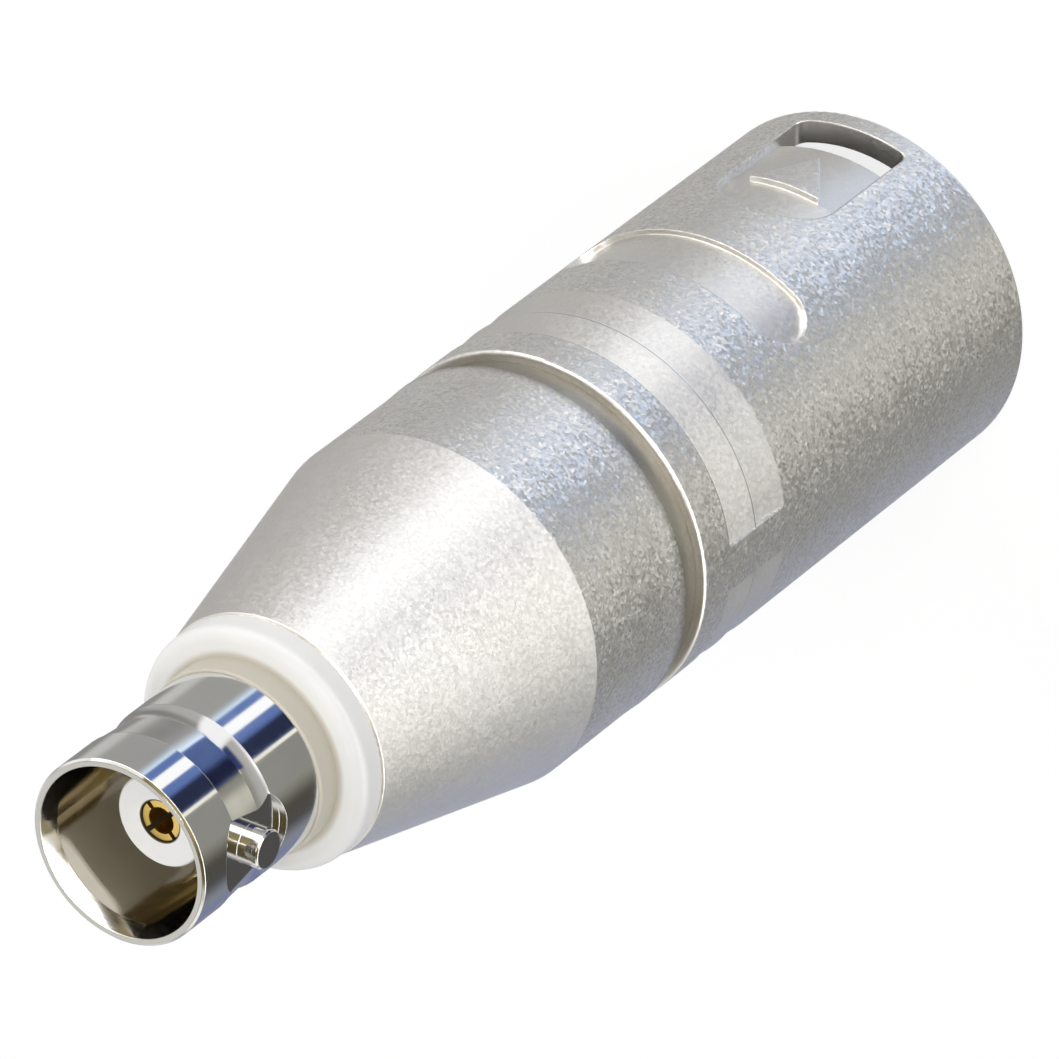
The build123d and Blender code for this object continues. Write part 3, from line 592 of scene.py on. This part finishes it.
def winding_mesh(name, core, middle, spread, turns, wire):
    """A tube of round wire wound round a ring core, as one closed surface.

    Core is the ring's inner and outer radius and its lowest and highest height. The wire's centre
    goes turns times round the core's section on a superellipse, (|cos t|^n + |sin t|^n)^(-1/n)
    times the half width and half height, one wire radius outside the core, while it moves spread
    degrees along the ring about the azimuth middle. The tube is a circle carried along that path,
    square to it, and each end closes on its centre.
    """
    inner, outer, low, high = core
    steps, around, power = turns * TURN_STEPS + 1, WIRE_SIDES, SECTION_POWER
    run = np.linspace(0.0, 1.0, steps)
    section = 2 * math.pi * turns * run
    half_width = (outer - inner) / 2 + wire / 2
    half_height = (high - low) / 2 + wire / 2
    squared = (np.abs(np.cos(section)) ** power + np.abs(np.sin(section)) ** power) ** (-1 / power)
    radius = (outer + inner) / 2 + half_width * squared * np.cos(section)
    height = (high + low) / 2 + half_height * squared * np.sin(section)
    azimuth = np.radians(middle + spread * (run - 0.5))
    path = np.stack([radius * np.cos(azimuth), radius * np.sin(azimuth), height], axis=1)
    tangent = np.gradient(path, axis=0)
    tangent /= np.linalg.norm(tangent, axis=1, keepdims=True)
    ring_way = np.stack([-np.sin(azimuth), np.cos(azimuth), np.zeros(steps)], axis=1)
    side = ring_way - tangent * np.sum(ring_way * tangent, axis=1, keepdims=True)
    side /= np.linalg.norm(side, axis=1, keepdims=True)
    outward = np.cross(tangent, side)
    turn = np.linspace(0.0, 2 * math.pi, around, endpoint=False)
    rim = side[:, None, :] * np.cos(turn)[None, :, None]
    rim = rim + outward[:, None, :] * np.sin(turn)[None, :, None]
    points = (path[:, None, :] + rim * wire / 2).reshape(-1, 3)
    points = np.concatenate([points, path[:1], path[-1:]])
    row = np.arange(steps - 1)[:, None] * around
    here = np.arange(around)[None, :]
    after = (here + 1) % around
    quads = np.stack(
        [row + here, row + after, row + around + after, row + around + here], axis=-1
    ).reshape(-1, 4)
    start, end = steps * around, steps * around + 1
    last = (steps - 1) * around
    first_cap = np.stack([np.full(around, start), after[0], here[0]], axis=-1)
    last_cap = np.stack([np.full(around, end), last + here[0], last + after[0]], axis=-1)
    mesh = bpy.data.meshes.new(name)
    mesh.from_pydata(
        points.tolist(), [], quads.tolist() + first_cap.tolist() + last_cap.tolist())
    mesh.polygons.foreach_set("use_smooth", [True] * len(mesh.polygons))
    mesh.update()
    return mesh


class ADAPTER_OT_windings(bpy.types.Operator):
    """Winds enamelled wire round the ring core in place of each closed wrap."""

    bl_idname = "adapter.windings"
    bl_label = "Wind transformer"

    def execute(self, context):
        wanted = context.scene.adapter_winding
        copper = polished_metal("copper_wire", shared_groups(), COPPER, roughness=0.2)
        low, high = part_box("transformer_core")
        # the core's hole is half as wide as the core
        core = (high.x / 2, high.x, low.z, high.z)
        for name, middle in (("primary_winding", 0.0), ("secondary_winding", 180.0)):
            mesh = winding_mesh(
                name + "_turns", core, middle, WINDING_SPREAD, wanted.turns, wanted.wire_diameter)
            made = bpy.data.objects.new(name + "_turns", mesh)
            context.scene.collection.objects.link(made)
            made.data.materials.append(copper)
            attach(made, BODY)
            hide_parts(name)
        return {"FINISHED"}


# Stage: camera, floor, lamps and the white room with its bright, coloured and dark cards

# The camera looks down from this azimuth and elevation and is rolled, in degrees, so that the
# jack lies low on the left and the mouth high on the right; lens and sensor in millimetres
CAMERA_PLACE = (-0.26286, -0.29247, 0.43221)
CAMERA_AZIMUTH = -132.0
CAMERA_ELEVATION = 45.678
CAMERA_ROLL = -127.372
CAMERA_LENS = 397.7
CAMERA_SENSOR = 36.0
CAMERA_CLIP = 0.01

# Lamps: way from the middle of the object, distance and width
KEY_LAMP = ((0.55, -0.72, 0.45), 0.6, 0.5)
TOP_LAMP = ((-0.25, -0.28, 0.92), 0.6, 0.2)

# Floor: its matt colour, and how strongly and how much of it glows white to the camera
FLOOR_COLOR = (0.9, 0.9, 0.9)
FLOOR_GLOW = 1.06
GLOW_SHARE = 0.78

# What plated metal mirrors, one soft-edged card laid on another: azimuth, elevation, half width,
# half height, and how far the side and end edges fade to either side, in degrees; then colour
CARDS = (
    # grey behind the object, and a bright card on the horizon
    (29.0, -43.0, 109.0, 16.0, 47.0, 6.0, (0.32, 0.31, 0.3)),
    (180.0, 9.0, 42.0, 13.0, 9.0, 7.0, (6.0, 6.0, 5.9)),
    # grey, dark and blue below it, for the right side of the shells
    (162.0, -52.0, 72.0, 20.0, 14.0, 20.0, (0.35, 0.35, 0.3)),
    (138.0, -49.0, 24.0, 27.0, 15.0, 13.0, (0.1, 0.095, 0.08)),
    (83.0, -30.0, 7.0, 26.0, 55.0, 28.0, (0.14, 0.22, 0.57)),
    # the other bright card on the horizon, and a pale strip below it behind the object
    (-104.0, 9.0, 52.0, 13.0, 25.0, 7.0, (4.95, 4.9, 5.0)),
    (48.0, -16.0, 62.0, 9.0, 15.0, 7.0, (0.85, 0.85, 0.88)),
    # the cool highlight along the shells
    (-99.0, -60.0, 18.0, 20.0, 21.0, 6.0, (1.9, 2.5, 3.1)),
    # white, blue and dark streaks on the jack's waist and collar
    (-92.0, -19.0, 17.0, 20.0, 4.0, 3.0, (1.3, 1.3, 1.33)),
    (-82.0, -55.0, 2.3, 14.0, 2.1, 5.0, (0.1, 0.16, 0.56)),
    (-126.0, -43.0, 15.0, 17.0, 2.5, 4.0, (0.04, 0.06, 0.2)),
    # greys and creams on the jack
    (-47.0, -43.5, 25.0, 5.0, 7.0, 2.0, (0.46, 0.46, 0.45)),
    (-5.0, -43.5, 14.0, 5.0, 10.0, 3.0, (0.68, 0.68, 0.66)),
    (-174.0, -60.0, 14.0, 9.0, 9.0, 6.0, (1.0, 0.97, 0.84)),
    # blue and dark on the jack's tapers
    (-112.0, -54.5, 31.0, 6.0, 4.0, 2.0, (0.1, 0.16, 0.4)),
    (-130.0, -54.5, 13.0, 6.0, 7.0, 2.0, (0.015, 0.02, 0.06)),
    # the sharp streaks along the jack
    (-110.0, -43.5, 29.5, 4.0, 1.5, 1.5, (0.16, 0.26, 0.62)),
    (-128.5, -43.5, 11.0, 5.0, 4.0, 1.5, (0.03, 0.04, 0.09)),
    (-97.8, -43.5, 7.2, 4.0, 1.2, 1.5, (1.45, 1.47, 1.5)),
    (-142.5, -43.5, 2.2, 5.0, 1.0, 1.5, (1.35, 1.33, 1.2)),
    (-166.0, -44.0, 20.0, 6.0, 3.0, 3.0, (0.36, 0.36, 0.335)),
    # overhead: olive for the wall of the bore, grey for the faces that look up
    (-132.0, 45.0, 45.0, 16.0, 20.0, 8.0, (0.5, 0.41, 0.2)),
    (48.0, 45.0, 30.0, 18.0, 14.0, 8.0, (0.8, 0.79, 0.74)),
)
# Behind the cards, from below: one colour, then bands that each take over between two elevations
ROOM_FLOOR = (0.6, 0.6, 0.62)
BANDS = (
    (-80.0, -62.0, (0.95, 0.96, 1.08)),
    (-52.0, -42.0, (0.42, 0.41, 0.4)),
    (-36.0, -26.0, (0.57, 0.56, 0.55)),
    (-1.0, 8.0, (1.25, 1.25, 1.23)),
    (16.0, 32.0, (0.15, 0.115, 0.05)),
)


def studio_card():
    """One soft-edged card in the room, laid over what is behind it."""
    tree, given, result = new_group(
        "studio_card",
        [("Behind", "Color", None), ("Ray Azimuth", "Float", 0.0), ("Ray Elevation", "Float", 0.0),
         ("Azimuth", "Float", 0.0), ("Elevation", "Float", 0.0), ("Half Width", "Float", 10.0),
         ("Half Height", "Float", 10.0), ("Side Edge", "Float", 5.0), ("End Edge", "Float", 5.0),
         ("Color", "Color", None)],
        [("Color", "Color")],
    )
    get = given.outputs
    away = math_node(tree, "SUBTRACT", get["Ray Azimuth"], get["Azimuth"])
    away = math_node(tree, "ABSOLUTE", math_node(tree, "WRAP", away, 180.0, -180.0))
    above = math_node(tree, "SUBTRACT", get["Ray Elevation"], get["Elevation"])
    above = math_node(tree, "ABSOLUTE", above)
    masks = []
    sides = ((away, "Half Width", "Side Edge"), (above, "Half Height", "End Edge"))
    for distance, half, edge in sides:
        inner = math_node(tree, "SUBTRACT", get[half], get[edge])
        outer = math_node(tree, "ADD", get[half], get[edge])
        masks.append(map_range(tree, distance, inner, outer, 1.0, 0.0, smooth=True))
    cover = math_node(tree, "MULTIPLY", *masks)
    tree.links.new(mix_color(tree, cover, get["Behind"], get["Color"]), result.inputs["Color"])
    return tree


def build_room(level):
    """White to the camera, an even level for matt surfaces, and the cards for what mirrors them."""
    world = bpy.data.worlds.new("pale_room")
    bpy.context.scene.world = world
    world.use_nodes = True
    world.cycles.sampling_method = "NONE"
    tree = world.node_tree
    tree.nodes.clear()
    way = add_node(tree, "ShaderNodeTexCoord").outputs["Generated"]
    parts = add_node(tree, "ShaderNodeSeparateXYZ", {"Vector": way})
    azimuth = math_node(tree, "ARCTAN2", parts.outputs["Y"], parts.outputs["X"])
    azimuth = math_node(tree, "DEGREES", azimuth)
    elevation = math_node(tree, "DEGREES", math_node(tree, "ARCSINE", parts.outputs["Z"]))
    seen = rgba(ROOM_FLOOR)
    for low, high, color in BANDS:
        rise = map_range(tree, elevation, low, high, 0.0, 1.0, smooth=True)
        seen = mix_color(tree, rise, seen, rgba(color))
    card_group = studio_card()
    for spot, tilt, width, height, side, end, color in CARDS:
        seen = use_group(
            tree, card_group, Behind=seen, Ray_Azimuth=azimuth, Ray_Elevation=elevation,
            Azimuth=spot, Elevation=tilt, Half_Width=width, Half_Height=height, Side_Edge=side,
            End_Edge=end, Color=rgba(color)).outputs["Color"]
    path = add_node(tree, "ShaderNodeLightPath")
    color = mix_color(tree, mirrored_rays(tree, path), rgba(WHITE, level), seen)
    color = mix_color(tree, path.outputs["Is Camera Ray"], color, rgba(WHITE))
    backdrop = add_node(tree, "ShaderNodeBackground", {"Color": color, "Strength": 1.0})
    output = tree.nodes.new("ShaderNodeOutputWorld")
    tree.links.new(backdrop.outputs[0], output.inputs["Surface"])


def build_floor(size):
    """A white floor that keeps a faint shadow, and lets mirrored rays through to the room."""
    half = size / 2
    corners = [(-half, -half, 0.0), (half, -half, 0.0), (half, half, 0.0), (-half, half, 0.0)]
    mesh = bpy.data.meshes.new("floor")
    mesh.from_pydata(corners, [], [(0, 1, 2, 3)])
    floor = bpy.data.objects.new("floor", mesh)
    bpy.context.scene.collection.objects.link(floor)
    made = bpy.data.materials.new("pale_floor")
    made.use_nodes = True
    tree = made.node_tree
    tree.nodes.clear()
    matt = add_node(tree, "ShaderNodeBsdfDiffuse", {"Color": rgba(FLOOR_COLOR)})
    glow = add_node(tree, "ShaderNodeEmission", {"Color": rgba(WHITE), "Strength": FLOOR_GLOW})
    path = add_node(tree, "ShaderNodeLightPath")
    share = math_node(tree, "MULTIPLY", path.outputs["Is Camera Ray"], GLOW_SHARE)
    paper = add_node(
        tree, "ShaderNodeMixShader", {0: share, 1: matt.outputs[0], 2: glow.outputs[0]})
    clear = add_node(tree, "ShaderNodeBsdfTransparent")
    back = add_node(tree, "ShaderNodeNewGeometry").outputs["Backfacing"]
    through = math_node(tree, "MAXIMUM", mirrored_rays(tree, path), back)
    both = add_node(
        tree, "ShaderNodeMixShader", {0: through, 1: paper.outputs[0], 2: clear.outputs[0]})
    output = tree.nodes.new("ShaderNodeOutputMaterial")
    tree.links.new(both.outputs[0], output.inputs["Surface"])
    floor.data.materials.append(made)


def build_camera():
    """Camera at the photographed viewing angle."""
    data = bpy.data.cameras.new("camera")
    data.lens = CAMERA_LENS
    data.sensor_width = CAMERA_SENSOR
    data.sensor_fit = "HORIZONTAL"
    data.clip_start = CAMERA_CLIP
    camera = bpy.data.objects.new("camera", data)
    # unturned, a camera looks straight down with its top to +Y
    turn = Matrix.Rotation(math.radians(CAMERA_AZIMUTH + 90.0), 4, "Z")
    tilt = Matrix.Rotation(math.radians(90.0 - CAMERA_ELEVATION), 4, "X")
    roll = Matrix.Rotation(math.radians(CAMERA_ROLL), 4, "Z")
    camera.matrix_world = Matrix.Translation(CAMERA_PLACE) @ turn @ tilt @ roll
    bpy.context.scene.collection.objects.link(camera)
    bpy.context.scene.camera = camera


def build_lamp(name, direction, distance, size, power):
    """A square white area lamp that faces the middle of the object."""
    data = bpy.data.lights.new(name, "AREA")
    data.size = size
    data.energy = power
    lamp = bpy.data.objects.new(name, data)
    way = Vector(direction).normalized()
    place = (cad_low + cad_high) / 2 + way * distance
    facing = way.to_track_quat("Z", "Y").to_matrix().to_4x4()
    lamp.matrix_world = Matrix.Translation(place) @ facing
    bpy.context.scene.collection.objects.link(lamp)


class ADAPTER_OT_stage(bpy.types.Operator):
    """Sets up the floor, the room, the lamps and the camera."""

    bl_idname = "adapter.stage"
    bl_label = "Set up stage"

    def execute(self, context):
        wanted = context.scene.adapter_stage
        build_floor(wanted.floor_size)
        build_room(wanted.room_level)
        build_lamp("key", *KEY_LAMP, wanted.key_power)
        build_lamp("top", *TOP_LAMP, wanted.top_power)
        build_camera()
        context.scene.view_settings.view_transform = "Standard"
        return {"FINISHED"}


class ADAPTER_PT_tools(bpy.types.Panel):
    """Lists the steps and their settings in the sidebar."""

    bl_idname = "ADAPTER_PT_tools"
    bl_label = "Adapter"
    bl_space_type = "VIEW_3D"
    bl_region_type = "UI"
    bl_category = "Adapter"

    def draw(self, context):
        layout = self.layout
        scene = context.scene
        for group in (scene.adapter_finish, scene.adapter_winding, scene.adapter_stage):
            box = layout.box()
            for name in group.__annotations__:
                box.prop(group, name)
        for step in STEPS:
            layout.operator(step.bl_idname)


STEPS = (
    ADAPTER_OT_finish_shells,
    ADAPTER_OT_finish_jack,
    ADAPTER_OT_finish_insert,
    ADAPTER_OT_finish_inner,
    ADAPTER_OT_windings,
    ADAPTER_OT_stage,
)
SETTINGS = (FinishSettings, WindingSettings, StageSettings)


def register():
    """Registers the classes and their settings."""
    for item in (*SETTINGS, *STEPS, ADAPTER_PT_tools):
        bpy.utils.register_class(item)
    bpy.types.Scene.adapter_finish = bpy.props.PointerProperty(type=FinishSettings)
    bpy.types.Scene.adapter_winding = bpy.props.PointerProperty(type=WindingSettings)
    bpy.types.Scene.adapter_stage = bpy.props.PointerProperty(type=StageSettings)


def unregister():
    """Takes the settings and the classes away again."""
    del bpy.types.Scene.adapter_stage
    del bpy.types.Scene.adapter_winding
    del bpy.types.Scene.adapter_finish
    for item in reversed((*SETTINGS, *STEPS, ADAPTER_PT_tools)):
        bpy.utils.unregister_class(item)


def main():
    """Runs every step in order."""
    register()
    bpy.ops.adapter.finish_shells()
    bpy.ops.adapter.finish_jack()
    bpy.ops.adapter.finish_insert()
    bpy.ops.adapter.finish_inner()
    bpy.ops.adapter.windings()
    bpy.ops.adapter.stage()


if __name__ == "__main__":
    main()
